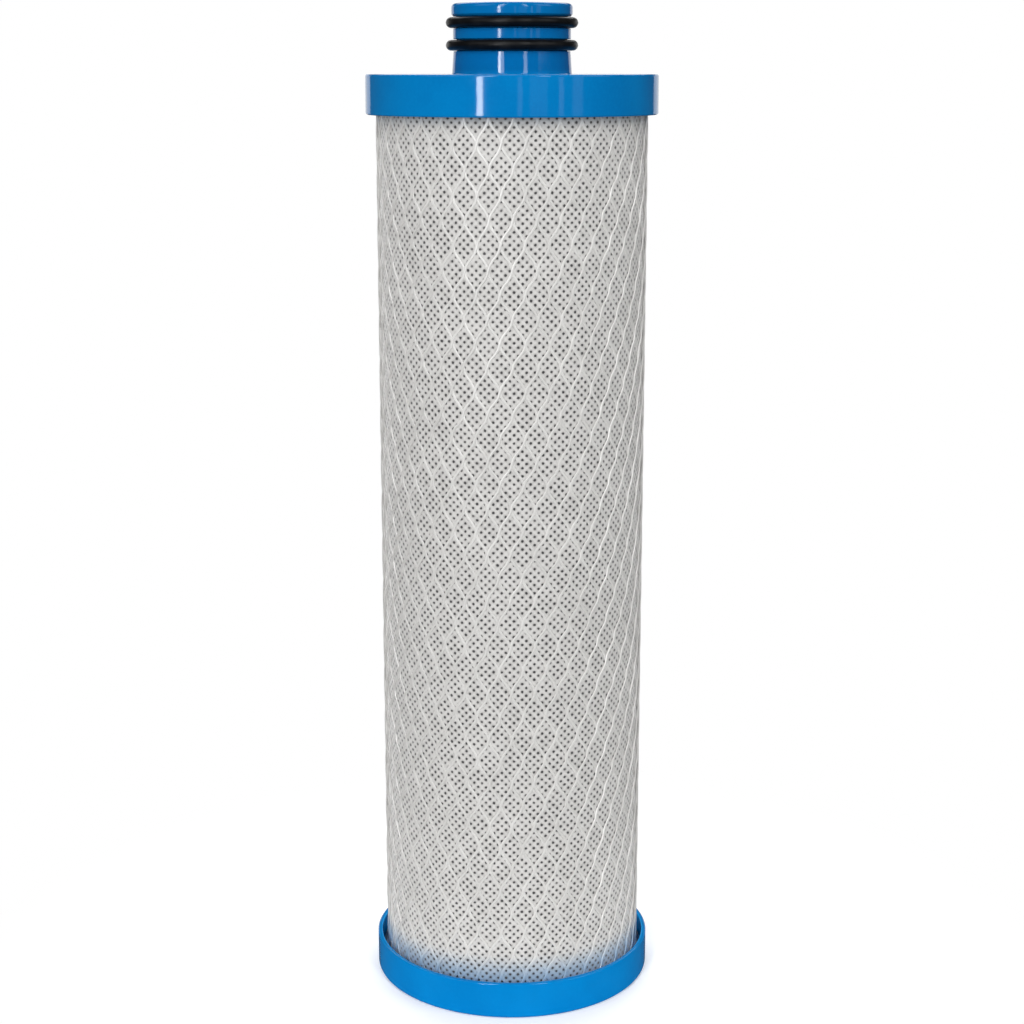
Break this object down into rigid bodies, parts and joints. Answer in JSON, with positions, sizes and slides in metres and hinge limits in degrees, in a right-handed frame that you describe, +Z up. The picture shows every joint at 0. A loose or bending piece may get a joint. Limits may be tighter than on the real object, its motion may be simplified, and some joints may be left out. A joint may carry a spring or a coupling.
{
  "type": "water filter cartridge",
  "caption": "Drop-in carbon block water filter cartridge: blue end caps, netted white wrap, slotted core and an outlet spigot with O-rings.",
  "frame": {"origin": "centre of the foot ring under the bottom cap, on the surface that the cartridge stands on", "axes": "+Z up along the cartridge's axis, towards the outlet spigot; +X and +Y are free, because the cartridge is round"},
  "size_m": [0.073, 0.073, 0.254],
  "materials": {
    "end_cap": "gloss",
    "o_ring": "satin",
    "netting": "satin",
    "nonwoven": "matte",
    "carbon": "matte",
    "core": "satin",
    "glue": "satin"
  },
  "bodies": {
    "root": {"top_end_cap": "end_cap", "upper_o_ring": "o_ring", "lower_o_ring": "o_ring", "bottom_end_cap": "end_cap", "outer_netting": "netting", "prefilter_wrap": "nonwoven", "carbon_block": "carbon", "postfilter_sleeve": "nonwoven", "core_tube": "core", "top_glue_ring": "glue", "bottom_glue_ring": "glue"}
  },
  "joints": []
}
